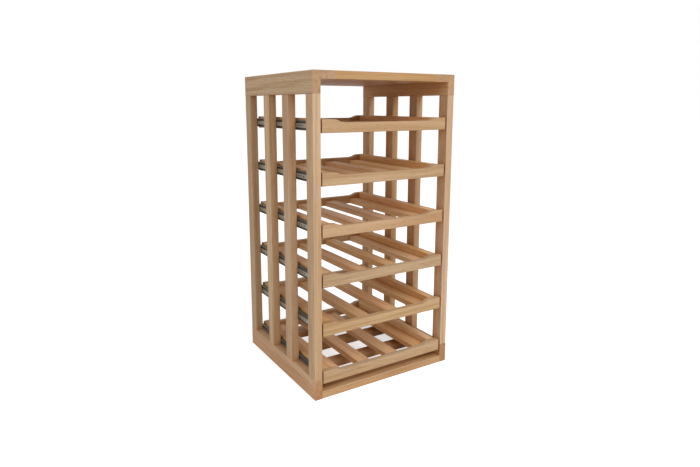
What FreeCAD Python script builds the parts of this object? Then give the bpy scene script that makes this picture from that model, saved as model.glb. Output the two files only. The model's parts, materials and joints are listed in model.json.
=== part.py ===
import FreeCAD, Part
import math
import os

# A free-standing oak rack for wine bottles: two slatted side panels, a closed top, a slatted
# base and six trays that pull out to the front on ball-bearing slides.
# Millimetres. X runs to the right, Y to the back, Z up. The origin is on the floor, under the
# middle of the rack, and the trays slide towards -Y.

# ---- overall size ----
RACK_WIDTH = 504.0
RACK_DEPTH = 475.0
RACK_HEIGHT = 950.0

# ---- side panels ----
PANEL_THICKNESS = 25.0
SIDE_RAIL_HEIGHT = 63.0
STILE_WIDTH = 40.0
SIDE_SLAT_WIDTH = 40.0
SIDE_SLAT_PITCH = 134.0          # centre to centre of the two slats of one panel

# ---- top ----
TOP_THICKNESS = 23.0
BATTEN_WIDTH = 46.0              # cross piece at each end of the top board
TONGUE_LENGTH = 12.0
TONGUE_THICKNESS = 8.0
TONGUE_SHOULDER = 10.0           # set-in of a tongue from the front and back edges

# ---- base ----
BASE_THICKNESS = 22.0
BASE_RAIL_WIDTH = 57.0
BASE_SLAT_WIDTH = 40.0

# ---- trays ----
TRAY_COUNT = 6
LOWEST_TRAY_GAP = 22.0           # from the top of the base to the underside of the lowest tray
SPACE_OVER_TOP_TRAY = 108.0      # bottle space between the highest tray and the top
TRAY_HEIGHT = 38.0               # of the boards at their ends
SCOOP_DEPTH = 9.0                # how far the middle of a board is lower than its ends
SCOOP_END_FLAT = 36.0            # level stretch at each end of the front board
SCOOP_CURVE_LENGTH = 40.0
FRONT_SETBACK = 2.0              # front face of a tray behind the front of the rack
FRONT_SIDE_GAP = 4.5             # from the end of a front board to the side panel
BOARD_THICKNESS = 19.0           # front and back boards
SIDE_BOARD_THICKNESS = 27.0
SIDE_BOARD_HEIGHT = 34.0
REAR_GAP = 17.0                  # from the back of a closed tray to the back of the rack
TRAY_SLAT_COUNT = 4
TRAY_SLAT_WIDTH = 43.0
TRAY_SLAT_THICKNESS = 18.0
TENON_LENGTH = 8.0
TENON_THICKNESS = 8.0
TENON_SHOULDER = 5.0             # set-in of a tenon from the edges of its board

# ---- slides ----
SLIDE_SPACE = 12.7               # from a side panel to the side board of a tray
SLIDE_HEIGHT = 27.0
SLIDE_RISE = 4.5                 # underside of a slide above the underside of its tray
SLIDE_FRONT_GAP = 2.0            # from the front board to the front of a slide
SLIDE_REAR_SETBACK = 24.0        # back end of a slide from the back of the rack
SHEET = 1.2                      # sheet steel of the slide members
BEND_RADIUS = 2.2                # outside of the bends of the outer channel
RUN_GAP = 0.3                    # running clearance between slide members
LIP = 1.4                        # inward lip at the mouth of a channel
OUTER_REACH = 10.0               # how far the outer channel stands off the panel
HEAD_SPACE = 2.4                 # room for screw heads behind the middle member

# ---- fasteners ----
DOWEL_RADIUS = 3.0
DOWEL_SHORT_END = 14.0           # depth of a dowel in a side panel
DOWEL_LONG_END = 25.0            # depth of a dowel in the end of a board
DOWEL_INSET = 14.0               # dowel axis from the edge of its board
TOP_DOWEL_INSET = 28.5           # outer dowels of the top, from its front and back edges
SCREW_HEAD_RADIUS = 3.5
SCREW_HEAD_HEIGHT = 1.8
SCREW_SHANK_RADIUS = 1.75
SCREW_POINT = 3.0
SLIDE_SCREW_LENGTH = 16.0
TRAY_SCREW_LENGTH = 14.0
TRAY_SCREW_INSET = 60.0          # from each end of the inner member
SPARE_HOLE_RADIUS = 3.0
SPARE_HOLE_COUNT = 3
SPARE_HOLE_PITCH = 15.5
SPARE_HOLE_INSET = 14.5          # from the edge of a slat to the first spare hole
HOLE_CLEARANCE = 0.45            # radial, screw shanks in the slide members

# ---- fits and finish ----
GLUE_GAP = 0.05                  # radial, dowels and screws in their holes
JOINT_GAP = 0.2                  # around tongues and tenons
EASING = 1.5                     # rounding of the long edges of the timber

# ---- derived places ----
half_width = RACK_WIDTH / 2
half_depth = RACK_DEPTH / 2
inner_x = half_width - PANEL_THICKNESS
top_underside = RACK_HEIGHT - TOP_THICKNESS
stile_bottom = SIDE_RAIL_HEIGHT
stile_top = RACK_HEIGHT - SIDE_RAIL_HEIGHT
slat_centres_y = (-SIDE_SLAT_PITCH / 2, SIDE_SLAT_PITCH / 2)

front_half = inner_x - FRONT_SIDE_GAP
tray_half = inner_x - SLIDE_SPACE
tray_inner_x = tray_half - SIDE_BOARD_THICKNESS
front_y = -half_depth + FRONT_SETBACK
front_inner_y = front_y + BOARD_THICKNESS
back_y = half_depth - REAR_GAP
back_inner_y = back_y - BOARD_THICKNESS
lowest_tray = BASE_THICKNESS + LOWEST_TRAY_GAP
highest_tray = top_underside - SPACE_OVER_TOP_TRAY - TRAY_HEIGHT
tray_pitch = (highest_tray - lowest_tray) / (TRAY_COUNT - 1)
tray_levels = [highest_tray - i * tray_pitch for i in range(TRAY_COUNT)]
tray_slat_pitch = (2 * tray_inner_x - TRAY_SLAT_WIDTH) / (TRAY_SLAT_COUNT - 1)
tray_slat_centres = [
    -tray_inner_x + TRAY_SLAT_WIDTH / 2 + i * tray_slat_pitch for i in range(TRAY_SLAT_COUNT)
]

slide_front = front_inner_y + SLIDE_FRONT_GAP
slide_back = half_depth - SLIDE_REAR_SETBACK
slide_centre = SLIDE_RISE + SLIDE_HEIGHT / 2
slide_levels = [level + slide_centre for level in tray_levels]
front_stile_screw = (slide_front - half_depth + STILE_WIDTH) / 2
rear_stile_screw = (slide_back + half_depth - STILE_WIDTH) / 2
panel_screws_y = [front_stile_screw, *slat_centres_y, rear_stile_screw]
tray_screws_y = [slide_front + TRAY_SCREW_INSET, slide_back - TRAY_SCREW_INSET]


# ---- helpers ----
ALONG_X = FreeCAD.Vector(1, 0, 0)
ALONG_Y = FreeCAD.Vector(0, 1, 0)
ALONG_Z = FreeCAD.Vector(0, 0, 1)
PARALLEL = 0.999                 # cosine above which two directions count as parallel
NEAR = 0.1                       # distance within which two places count as the same


def block(x_span, y_span, z_span):
    """A box between two X, two Y and two Z values."""
    lengths = [high - low for low, high in (x_span, y_span, z_span)]
    corner = FreeCAD.Vector(x_span[0], y_span[0], z_span[0])
    return Part.makeBox(*lengths, corner)


def centred(middle, width):
    """The span of a width about a middle."""
    return (middle - width / 2, middle + width / 2)


def runs_along(edge, direction):
    """Whether an edge is straight and parallel to a direction."""
    if not isinstance(edge.Curve, Part.Line):
        return False
    return abs(edge.Curve.Direction.dot(direction)) > PARALLEL


def eased(board, direction):
    """The board with its edges along a direction rounded over."""
    edges = [edge for edge in board.Edges if runs_along(edge, direction)]
    return board.makeFillet(EASING, edges)


def mirrored(shape):
    """The same piece on the other side of the rack."""
    return shape.mirror(FreeCAD.Vector(0, 0, 0), ALONG_X)


def both_sides(left):
    """A left piece and its right counterpart."""
    return [left, mirrored(left)]


def moved(shape, x, y, z):
    """A copy of the shape, moved."""
    copy = shape.copy()
    copy.translate(FreeCAD.Vector(x, y, z))
    return copy


def drilled(board, holes):
    """The board with all holes cut."""
    return board.cut(Part.makeCompound(holes))


def solid_of(shape):
    """The single solid of a boolean's result."""
    return shape.Solids[0]


def save(name, pieces):
    """Writes a node of one or more separate solids."""
    shape = pieces[0] if len(pieces) == 1 else Part.makeCompound(pieces)
    shape.exportStep(f"parts/{name}.step")


# ---- dowels ----
def dowel(start, direction, length, growth=0.0):
    """A round dowel from start, made larger all round by growth to cut its bore."""
    base = start - direction * growth
    return Part.makeCylinder(DOWEL_RADIUS + growth, length + 2 * growth, base, direction)


def pair_across(middle, width):
    """The two dowel places across the end of a board."""
    reach = width / 2 - DOWEL_INSET
    return (middle - reach, middle + reach)


def upright_dowel_places():
    """Start and direction of the dowels between the uprights and rails of the left panel."""
    x = -half_width + PANEL_THICKNESS / 2
    uprights = [
        (-half_depth + STILE_WIDTH / 2, STILE_WIDTH),
        (half_depth - STILE_WIDTH / 2, STILE_WIDTH),
    ] + [(centre, SIDE_SLAT_WIDTH) for centre in slat_centres_y]
    places = []
    for middle, width in uprights:
        for y in pair_across(middle, width):
            low = FreeCAD.Vector(x, y, stile_bottom - DOWEL_LONG_END)
            high = FreeCAD.Vector(x, y, stile_top + DOWEL_LONG_END)
            places.append((low, ALONG_Z))
            places.append((high, -ALONG_Z))
    return places


def cross_dowel_places():
    """Start and direction of the dowels that hold the top and the base to the left panel."""
    x = -inner_x - DOWEL_SHORT_END
    top_z = RACK_HEIGHT - TOP_THICKNESS / 2
    base_z = BASE_THICKNESS / 2
    top_reach = half_depth - TOP_DOWEL_INSET
    places = []
    for y in (-top_reach, slat_centres_y[0], slat_centres_y[1], top_reach):
        places.append((FreeCAD.Vector(x, y, top_z), ALONG_X))
    members = [
        (-half_depth + BASE_RAIL_WIDTH / 2, BASE_RAIL_WIDTH),
        (half_depth - BASE_RAIL_WIDTH / 2, BASE_RAIL_WIDTH),
    ] + [(centre, BASE_SLAT_WIDTH) for centre in slat_centres_y]
    for middle, width in members:
        for y in pair_across(middle, width):
            places.append((FreeCAD.Vector(x, y, base_z), ALONG_X))
    return places


def left_dowels(growth=0.0):
    """The dowels of the left half of the frame, or their bores."""
    upright = [
        dowel(start, direction, 2 * DOWEL_LONG_END, growth)
        for start, direction in upright_dowel_places()
    ]
    cross = [
        dowel(start, direction, DOWEL_SHORT_END + DOWEL_LONG_END, growth)
        for start, direction in cross_dowel_places()
    ]
    return upright + cross


left_bores = left_dowels(GLUE_GAP)
right_bores = [mirrored(bore) for bore in left_bores]


# ---- screws ----
def pan_screw(length, growth=0.0):
    """A pan-head screw at the origin that points to -X, or its hole when growth is set."""
    shank = Part.makeCylinder(
        SCREW_SHANK_RADIUS + growth, length - SCREW_POINT, FreeCAD.Vector(0, 0, 0), -ALONG_X
    )
    point = Part.makeCone(
        SCREW_SHANK_RADIUS + growth,
        0.0,
        SCREW_POINT + growth,
        FreeCAD.Vector(SCREW_POINT - length, 0, 0),
        -ALONG_X,
    )
    if growth:
        return shank.fuse(point)
    head = Part.makeCylinder(SCREW_HEAD_RADIUS, SCREW_HEAD_HEIGHT, FreeCAD.Vector(0, 0, 0), ALONG_X)
    rim = [edge for edge in head.Edges if edge.BoundBox.XMin > SCREW_HEAD_HEIGHT / 2]
    head = head.makeFillet(SCREW_HEAD_HEIGHT / 2, [edge for edge in rim if edge.isClosed()])
    return solid_of(head.fuse([shank, point]).removeSplitter())


def panel_screw_places():
    """Where the screws of the left outer slide members pass the channel's web."""
    return [(-inner_x + SHEET, y, z) for z in slide_levels for y in panel_screws_y]


def left_panel_screws(growth=0.0):
    """The screws that hold the left slides to the side panel, or their pilot holes."""
    screw = pan_screw(SLIDE_SCREW_LENGTH, growth)
    return [moved(screw, *place) for place in panel_screw_places()]


left_pilots = left_panel_screws(GLUE_GAP)


# ---- side panels ----
def left_panel_pieces():
    """The rails, stiles and slats of the left side panel, by name."""
    x_span = (-half_width, -inner_x)
    full_y = (-half_depth, half_depth)
    upright_z = (stile_bottom, stile_top)
    top_rail = eased(block(x_span, full_y, (stile_top, RACK_HEIGHT)), ALONG_Y)
    bottom_rail = eased(block(x_span, full_y, (0.0, stile_bottom)), ALONG_Y)
    front_stile = eased(block(x_span, (-half_depth, -half_depth + STILE_WIDTH), upright_z), ALONG_Z)
    rear_stile = eased(block(x_span, (half_depth - STILE_WIDTH, half_depth), upright_z), ALONG_Z)
    slats = [
        eased(block(x_span, centred(centre, SIDE_SLAT_WIDTH), upright_z), ALONG_Z)
        for centre in slat_centres_y
    ]
    holes = left_bores + left_pilots
    pieces = {
        "top_rail": [top_rail],
        "bottom_rail": [bottom_rail],
        "front_stile": [front_stile],
        "rear_stile": [rear_stile],
        "slats": slats,
    }
    return {
        name: [solid_of(drilled(board, holes)) for board in boards]
        for name, boards in pieces.items()
    }


# ---- top ----
def top_pieces():
    """The top board with a tongue at each end, and its two battens."""
    z_span = (top_underside, RACK_HEIGHT)
    full_y = (-half_depth, half_depth)
    board_half = inner_x - BATTEN_WIDTH
    tongue_z = centred(RACK_HEIGHT - TOP_THICKNESS / 2, TONGUE_THICKNESS)
    tongue_y = (-half_depth + TONGUE_SHOULDER, half_depth - TONGUE_SHOULDER)
    tongue_half = board_half + TONGUE_LENGTH
    board = eased(block((-board_half, board_half), full_y, z_span), ALONG_X)
    board = board.fuse(block((-tongue_half, tongue_half), tongue_y, tongue_z))
    groove = block(
        (-tongue_half - JOINT_GAP, -board_half),
        (tongue_y[0] - JOINT_GAP, tongue_y[1] + JOINT_GAP),
        (tongue_z[0] - JOINT_GAP, tongue_z[1] + JOINT_GAP),
    )
    batten = block((-inner_x, -board_half), full_y, z_span)
    batten = solid_of(drilled(batten.cut(groove), left_bores))
    return solid_of(board), [batten, mirrored(batten)]


# ---- base ----
def base_member(y_span):
    """A board of the base between the side panels, with the bores for its dowels."""
    board = eased(block((-inner_x, inner_x), y_span, (0.0, BASE_THICKNESS)), ALONG_X)
    return solid_of(drilled(board, left_bores + right_bores))


# ---- slide members ----
def channel(profile, ends):
    """A slide member: its XZ profile run along Y between two ends."""
    points = [FreeCAD.Vector(x, ends[0], z) for x, z in profile]
    face = Part.Face(Part.makePolygon(points + points[:1]))
    return face.extrude(FreeCAD.Vector(0, ends[1] - ends[0], 0))


def with_mirror_below(upper):
    """A closed profile from its half above Z=0."""
    return upper + [(x, -z) for x, z in reversed(upper)]


outer_inside = SLIDE_HEIGHT / 2 - SHEET
outer_lip = outer_inside - LIP
middle_front = OUTER_REACH - SHEET - RUN_GAP
middle_back = SHEET + HEAD_SPACE
middle_outside = outer_inside - RUN_GAP
middle_inside = middle_outside - SHEET
middle_lip = middle_inside - LIP
foot_back = middle_back + SHEET + RUN_GAP
foot_front = middle_front - SHEET - RUN_GAP
foot_outside = middle_inside - RUN_GAP
leg_outside = middle_lip - RUN_GAP
leg_inside = leg_outside - SHEET

OUTER_PROFILE = with_mirror_below(
    [
        (SHEET, outer_inside),
        (OUTER_REACH - SHEET, outer_inside),
        (OUTER_REACH - SHEET, outer_lip),
        (OUTER_REACH, outer_lip),
        (OUTER_REACH, SLIDE_HEIGHT / 2),
        (0.0, SLIDE_HEIGHT / 2),
    ]
)
MIDDLE_PROFILE = with_mirror_below(
    [
        (middle_back + SHEET, middle_inside),
        (middle_front - SHEET, middle_inside),
        (middle_front - SHEET, middle_lip),
        (middle_front, middle_lip),
        (middle_front, middle_outside),
        (middle_back, middle_outside),
    ]
)
INNER_PROFILE = with_mirror_below(
    [
        (SLIDE_SPACE - SHEET, leg_inside),
        (foot_back, leg_inside),
        (foot_back, foot_outside),
        (foot_front, foot_outside),
        (foot_front, leg_outside),
        (SLIDE_SPACE, leg_outside),
    ]
)


def bent(member, x, z, radius):
    """The member with the long edges at x, above and below, rounded."""
    edges = [
        edge
        for edge in member.Edges
        if runs_along(edge, ALONG_Y)
        and abs(edge.BoundBox.XMin - x) < NEAR
        and abs(abs(edge.BoundBox.ZMin) - z) < NEAR
    ]
    return member.makeFillet(radius, edges)


def placed_left(shape, level_z):
    """The member moved from X=0, Z=0 to the inner face of the left side panel."""
    return moved(shape, -inner_x, 0, level_z)


def web_hole(radius, y):
    """A round hole through the web of a slide member that lies at Z=0."""
    start = FreeCAD.Vector(-SHEET, y, 0)
    return Part.makeCylinder(radius, SLIDE_SPACE + 2 * SHEET, start, ALONG_X)


def outer_member():
    """The left channel that is screwed to a side panel, with its spare holes."""
    first = slat_centres_y[0] - SIDE_SLAT_WIDTH / 2 - SPARE_HOLE_INSET
    spares = [first - i * SPARE_HOLE_PITCH for i in range(SPARE_HOLE_COUNT)]
    spares += [-y for y in spares]
    holes = [web_hole(SPARE_HOLE_RADIUS, y) for y in spares]
    holes += [web_hole(SCREW_SHANK_RADIUS + HOLE_CLEARANCE, y) for y in panel_screws_y]
    member = channel(OUTER_PROFILE, (slide_front, slide_back))
    member = bent(member, 0.0, SLIDE_HEIGHT / 2, BEND_RADIUS)
    member = bent(member, SHEET, outer_inside, BEND_RADIUS - SHEET)
    return solid_of(drilled(member, holes))


def middle_member():
    """The left channel that runs between the other two."""
    return channel(MIDDLE_PROFILE, (slide_front, slide_back))


def inner_member():
    """The left member that is screwed to a tray."""
    holes = [web_hole(SCREW_SHANK_RADIUS + HOLE_CLEARANCE, y) for y in tray_screws_y]
    return solid_of(drilled(channel(INNER_PROFILE, (slide_front, slide_back)), holes))


# ---- trays ----
def scoop_arcs(x_end, direction):
    """The S-shaped step between an end's flat and the scoop, as two tangent arcs.

    It starts at x_end on the high flat and runs towards direction, down by SCOOP_DEPTH.
    """
    radius = (SCOOP_CURVE_LENGTH**2 + SCOOP_DEPTH**2) / (4 * SCOOP_DEPTH)
    turn = math.asin(SCOOP_CURVE_LENGTH / 2 / radius)
    half_run = radius * math.sin(turn / 2)
    half_drop = radius * (1 - math.cos(turn / 2))
    start = (x_end, TRAY_HEIGHT)
    middle = (x_end + direction * SCOOP_CURVE_LENGTH / 2, TRAY_HEIGHT - SCOOP_DEPTH / 2)
    end = (x_end + direction * SCOOP_CURVE_LENGTH, TRAY_HEIGHT - SCOOP_DEPTH)
    upper = (start[0] + direction * half_run, start[1] - half_drop)
    lower = (end[0] - direction * half_run, end[1] + half_drop)
    return [(start, upper, middle), (middle, lower, end)]


def scooped_board(half_length, y_span):
    """A tray's front or back board: level at its ends, dished in the middle. Its foot is at Z=0."""
    flat_end = front_half - SCOOP_END_FLAT

    def vector(point):
        return FreeCAD.Vector(point[0], y_span[0], point[1])

    left = scoop_arcs(-flat_end, 1)
    right = [arc[::-1] for arc in reversed(scoop_arcs(flat_end, -1))]
    arcs = left + right
    corners = [
        (half_length, TRAY_HEIGHT),
        (half_length, 0.0),
        (-half_length, 0.0),
        (-half_length, TRAY_HEIGHT),
    ]
    edges = []
    place = corners[-1]
    for arc in arcs:
        if arc[0] != place:
            edges.append(Part.makeLine(vector(place), vector(arc[0])))
        edges.append(Part.Arc(*[vector(point) for point in arc]).toShape())
        place = arc[-1]
    for corner in corners:
        edges.append(Part.makeLine(vector(place), vector(corner)))
        place = corner
    face = Part.Face(Part.Wire(edges))
    board = face.extrude(FreeCAD.Vector(0, y_span[1] - y_span[0], 0))
    outline = [edge for edge in board.Edges if edge.BoundBox.YLength < NEAR]
    return board.makeFillet(EASING, outline)


def tenons(x_span, z_span, growth=0.0):
    """The two tenons of a board that runs from front to back, or their mortises."""
    x_tenon = (x_span[0] + TENON_SHOULDER - growth, x_span[1] - TENON_SHOULDER + growth)
    z_tenon = centred((z_span[0] + z_span[1]) / 2, TENON_THICKNESS + 2 * growth)
    length = TENON_LENGTH + growth
    front = block(x_tenon, (front_inner_y - length, front_inner_y), z_tenon)
    back = block(x_tenon, (back_inner_y, back_inner_y + length), z_tenon)
    return [front, back]


def lengthwise_spans():
    """X and Z spans of the boards that run from front to back: two sides, then the slats."""
    side_z = (TRAY_HEIGHT - SIDE_BOARD_HEIGHT, TRAY_HEIGHT)
    sides = [((-tray_half, -tray_inner_x), side_z), ((tray_inner_x, tray_half), side_z)]
    slat_z = (0.0, TRAY_SLAT_THICKNESS)
    slats = [(centred(centre, TRAY_SLAT_WIDTH), slat_z) for centre in tray_slat_centres]
    return sides, slats


def lengthwise_board(x_span, z_span):
    """One side board or slat between the front and back boards, with its tenons."""
    board = eased(block(x_span, (front_inner_y, back_inner_y), z_span), ALONG_Y)
    return solid_of(board.fuse(tenons(x_span, z_span)).removeSplitter())


def tray_screws(growth=0.0):
    """The screws that hold a tray's inner slide members, or their pilot holes."""
    screw = mirrored(pan_screw(TRAY_SCREW_LENGTH, growth))
    x = -tray_half - SHEET
    left = [moved(screw, x, y, slide_centre) for y in tray_screws_y]
    return left + [mirrored(shape) for shape in left]


def tray_pieces():
    """The pieces of one tray, by name, with the underside of its boards at Z=0."""
    sides, slats = lengthwise_spans()
    mortises = [
        mortise for x_span, z_span in sides + slats for mortise in tenons(x_span, z_span, JOINT_GAP)
    ]
    front = scooped_board(front_half, (front_y, front_inner_y))
    back = scooped_board(tray_half, (back_inner_y, back_y))
    pilots = tray_screws(GLUE_GAP)
    inner = placed_left(inner_member(), slide_centre)
    return {
        "front": [solid_of(drilled(front, mortises))],
        "back": [solid_of(drilled(back, mortises))],
        "sides": [solid_of(drilled(lengthwise_board(*spans), pilots)) for spans in sides],
        "slats": [lengthwise_board(*spans) for spans in slats],
        "slide_inner": both_sides(inner),
        "screws": tray_screws(),
    }


# ---- assembly ----
def build():
    """Writes every node."""
    os.makedirs("parts", exist_ok=True)

    for name, boards in left_panel_pieces().items():
        save(f"left_{name}", boards)
        save(f"right_{name}", [mirrored(board) for board in boards])

    top_board, battens = top_pieces()
    save("top_board", [top_board])
    save("top_battens", battens)

    save("base_front_rail", [base_member((-half_depth, -half_depth + BASE_RAIL_WIDTH))])
    save("base_rear_rail", [base_member((half_depth - BASE_RAIL_WIDTH, half_depth))])
    save("base_slats", [base_member(centred(y, BASE_SLAT_WIDTH)) for y in slat_centres_y])

    outer = outer_member()
    outers = [placed_left(outer, z) for z in slide_levels]
    save("slide_outer_members", outers + [mirrored(member) for member in outers])

    panel_screws = left_panel_screws()
    save("slide_screws", panel_screws + [mirrored(screw) for screw in panel_screws])

    dowels = left_dowels()
    save("frame_dowels", dowels + [mirrored(pin) for pin in dowels])

    middle = middle_member()
    tray = tray_pieces()
    for number, level in enumerate(tray_levels, start=1):
        save(f"slide_middle_{number}", both_sides(placed_left(middle, level + slide_centre)))
        for name, pieces in tray.items():
            save(f"tray_{number}_{name}", [moved(piece, 0, 0, level) for piece in pieces])


build()
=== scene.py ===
"""The looks of an oak wine rack: its timber and steel finishes, screws, ball races and studio.

Everything is in metres in the rack's own frame: X to the right, Y to the back, Z up, the origin
on the floor under the middle of the rack. The trays slide towards -Y.
"""

import json
import logging
import math
from dataclasses import dataclass, field
from enum import Enum
from typing import Callable, Union

import bmesh
import bpy
from mathutils import Matrix, Vector

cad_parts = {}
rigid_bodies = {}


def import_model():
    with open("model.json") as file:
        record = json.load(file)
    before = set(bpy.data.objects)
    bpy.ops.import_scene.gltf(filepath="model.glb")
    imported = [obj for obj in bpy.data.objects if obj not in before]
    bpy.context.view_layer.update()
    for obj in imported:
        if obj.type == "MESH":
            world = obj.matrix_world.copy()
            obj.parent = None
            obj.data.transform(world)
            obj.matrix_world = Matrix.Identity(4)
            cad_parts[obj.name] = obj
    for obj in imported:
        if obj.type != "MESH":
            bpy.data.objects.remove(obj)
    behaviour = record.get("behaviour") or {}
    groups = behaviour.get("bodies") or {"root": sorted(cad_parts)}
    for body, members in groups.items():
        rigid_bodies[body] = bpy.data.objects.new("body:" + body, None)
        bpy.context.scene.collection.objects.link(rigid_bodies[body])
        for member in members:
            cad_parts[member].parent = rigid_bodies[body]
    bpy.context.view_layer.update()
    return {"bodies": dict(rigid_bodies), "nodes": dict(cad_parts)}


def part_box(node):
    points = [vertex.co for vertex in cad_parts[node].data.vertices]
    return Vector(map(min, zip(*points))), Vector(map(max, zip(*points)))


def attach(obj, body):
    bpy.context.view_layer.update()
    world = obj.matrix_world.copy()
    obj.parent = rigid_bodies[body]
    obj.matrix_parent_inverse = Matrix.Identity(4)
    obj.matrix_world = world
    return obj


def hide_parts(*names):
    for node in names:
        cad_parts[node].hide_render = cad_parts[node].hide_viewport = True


LOG = logging.getLogger("wine_rack")
MILLIMETRE = 0.001
SLAT_PITCH = 134 * MILLIMETRE   # between the middles of two neighbouring slats
WHOLE = 2.0                     # longer than the rack, for a cell that holds all of one direction
BELOW = -0.5                    # under the floor, where a cell that holds all heights starts

Colour = tuple[float, float, float]
Triple = tuple[float, float, float]
Socket = bpy.types.NodeSocket
Feed = Union[Socket, float, int, Triple]


def linear(red: int, green: int, blue: int) -> Colour:
    """The scene-linear colour of a display colour.

    Args:
        red: The red part, 0 to 255.
        green: The green part, 0 to 255.
        blue: The blue part, 0 to 255.

    Returns:
        The three linear parts, 0 to 1.
    """

    def part(value: int) -> float:
        """One linear part."""
        share = value / 255
        return share / 12.92 if share <= 0.04045 else ((share + 0.055) / 1.055) ** 2.4

    return part(red), part(green), part(blue)


class Grain(Enum):
    """Which way the fibres of a board run, as the order of its (along, across, through) axes."""

    ALONG_X = ("X", "Y", "Z")
    ALONG_Y = ("Y", "X", "Z")
    ALONG_Z = ("Z", "X", "Y")


class Side(Enum):
    """The two sides of the rack, as the sign of X."""

    LEFT = -1
    RIGHT = 1


# ---------------------------------------------------------------------------------------------
# Node graphs
# ---------------------------------------------------------------------------------------------
class Graph:
    """A short way to write a node tree, for materials and for geometry."""

    def __init__(self, tree: bpy.types.NodeTree) -> None:
        """Keeps the tree that the nodes are added to."""
        self.tree = tree

    def node(
        self, kind: str, feeds: dict[Union[str, int], Feed] | None = None, **settings
    ) -> bpy.types.Node:
        """Adds a node.

        Args:
            kind: The node's type.
            feeds: What goes into its inputs, by name or number: a socket, or a value to set.
            **settings: Properties of the node.

        Returns:
            The node.
        """
        made = self.tree.nodes.new(kind)
        for name, value in settings.items():
            setattr(made, name, value)
        for key, value in (feeds or {}).items():
            self.feed(made.inputs[key], value)
        return made

    def feed(self, socket: Socket, value: Feed) -> None:
        """Links a socket into an input, or sets the input's own value."""
        if isinstance(value, bpy.types.NodeSocket):
            self.tree.links.new(value, socket)
        elif isinstance(value, tuple) and socket.type == "RGBA":
            socket.default_value = (*value, 1.0)
        else:
            socket.default_value = value

    def math(self, operation: str, first: Feed, second: Feed = 0.0) -> Socket:
        """The result of a Math node."""
        return self.node("ShaderNodeMath", {0: first, 1: second}, operation=operation).outputs[0]

    def vector(self, operation: str, first: Feed, second: Feed = (0.0, 0.0, 0.0)) -> Socket:
        """The vector that a Vector Math node gives."""
        made = self.node("ShaderNodeVectorMath", {0: first, 1: second}, operation=operation)
        return made.outputs["Vector"]

    def combined(self, x: Feed, y: Feed, z: Feed) -> Socket:
        """One vector from three numbers."""
        return self.node("ShaderNodeCombineXYZ", {0: x, 1: y, 2: z}).outputs[0]

    def separated(self, vector: Socket) -> dict[str, Socket]:
        """The three numbers of a vector, by axis."""
        outputs = self.node("ShaderNodeSeparateXYZ", {0: vector}).outputs
        return {"X": outputs[0], "Y": outputs[1], "Z": outputs[2]}

    def noise(self, place: Feed, scale: float, detail: float = 2.0, rough: float = 0.5) -> Socket:
        """Smooth noise at a place, from 0 to 1.

        Args:
            place: Where it is looked up.
            scale: How many lumps there are in a metre.
            detail: How many finer layers it has.
            rough: How strong the finer layers are.

        Returns:
            The noise value.
        """
        feeds = {"Vector": place, "Scale": scale, "Detail": detail, "Roughness": rough}
        return self.node("ShaderNodeTexNoise", feeds).outputs[0]

    def ranged(
        self, value: Feed, low: float, high: float, to_low: float = 0.0, to_high: float = 1.0
    ) -> Socket:
        """A value moved smoothly from one range to another and held inside it.

        Args:
            value: The value.
            low: Where the first range starts.
            high: Where the first range ends.
            to_low: What low becomes.
            to_high: What high becomes.

        Returns:
            The moved value.
        """
        feeds = {0: value, 1: low, 2: high, 3: to_low, 4: to_high}
        settings = {"interpolation_type": "SMOOTHSTEP", "clamp": True}
        return self.node("ShaderNodeMapRange", feeds, **settings).outputs[0]

    def mixed(self, share: Feed, first: Feed, second: Feed, way: str = "MIX") -> Socket:
        """Two colours mixed by a share.

        Args:
            share: How much of the second colour there is, 0 to 1.
            first: The colour at 0.
            second: The colour at 1.
            way: How they are blended.

        Returns:
            The mixed colour.
        """
        feeds = {0: share, 6: first, 7: second}
        settings = {"data_type": "RGBA", "blend_type": way, "clamp_factor": True}
        return self.node("ShaderNodeMix", feeds, **settings).outputs[2]


class Finish(Graph):
    """The node graph of one material, with its surface shader."""

    def __init__(self, name: str) -> None:
        """Makes the empty material and its shader."""
        self.material = bpy.data.materials.new(name)
        self.material.use_nodes = True
        super().__init__(self.material.node_tree)
        self.tree.nodes.clear()
        self.output = self.node("ShaderNodeOutputMaterial")
        self.place = self.node("ShaderNodeTexCoord").outputs["Object"]

    def surface(self, feeds: dict[str, Feed]) -> bpy.types.Material:
        """Ends the graph in a Principled shader.

        Args:
            feeds: What goes into the shader's inputs, by name.

        Returns:
            The finished material.
        """
        shader = self.node("ShaderNodeBsdfPrincipled", feeds)
        self.tree.links.new(shader.outputs[0], self.output.inputs["Surface"])
        return self.material

    def bump(self, height: Socket, distance: float, strength: float) -> Socket:
        """The shading normal over a height from 0 to 1 that stands for a real distance."""
        feeds = {"Height": height, "Distance": distance, "Strength": strength}
        return self.node("ShaderNodeBump", feeds).outputs[0]

    def nearness(self, reach: float, samples: int = 6) -> Socket:
        """How open a point is to its surroundings: 0 in a seam or corner, 1 in the open."""
        made = self.node("ShaderNodeAmbientOcclusion", {"Distance": reach}, samples=samples)
        return made.outputs["AO"]


# ---------------------------------------------------------------------------------------------
# Finishes
# ---------------------------------------------------------------------------------------------
@dataclass(frozen=True)
class OakTone:
    """The colours of one batch of oak, from its pale late growth to its dark pores, with the tint of its
    painted bounce light.
    """

    pale: Colour = linear(216, 190, 159)
    body: Colour = linear(196, 163, 128)
    warm: Colour = linear(175, 138, 102)
    pore: Colour = linear(120, 84, 56)
    # painted light: a warm tint multiplied into enclosed faces, standing in for light bounced between
    # boards
    glow: Colour = linear(250, 222, 186)


@dataclass(frozen=True)
class Boards:
    """How the boards of one finish lie, so that each shows its own growth rings.

    Every cell of a lattice holds one board. The lattice has its corner at origin.
    """

    spacing: Triple = (WHOLE, WHOLE, WHOLE)
    origin: Triple = (-WHOLE / 2, -WHOLE / 2, -WHOLE / 2)


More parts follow.
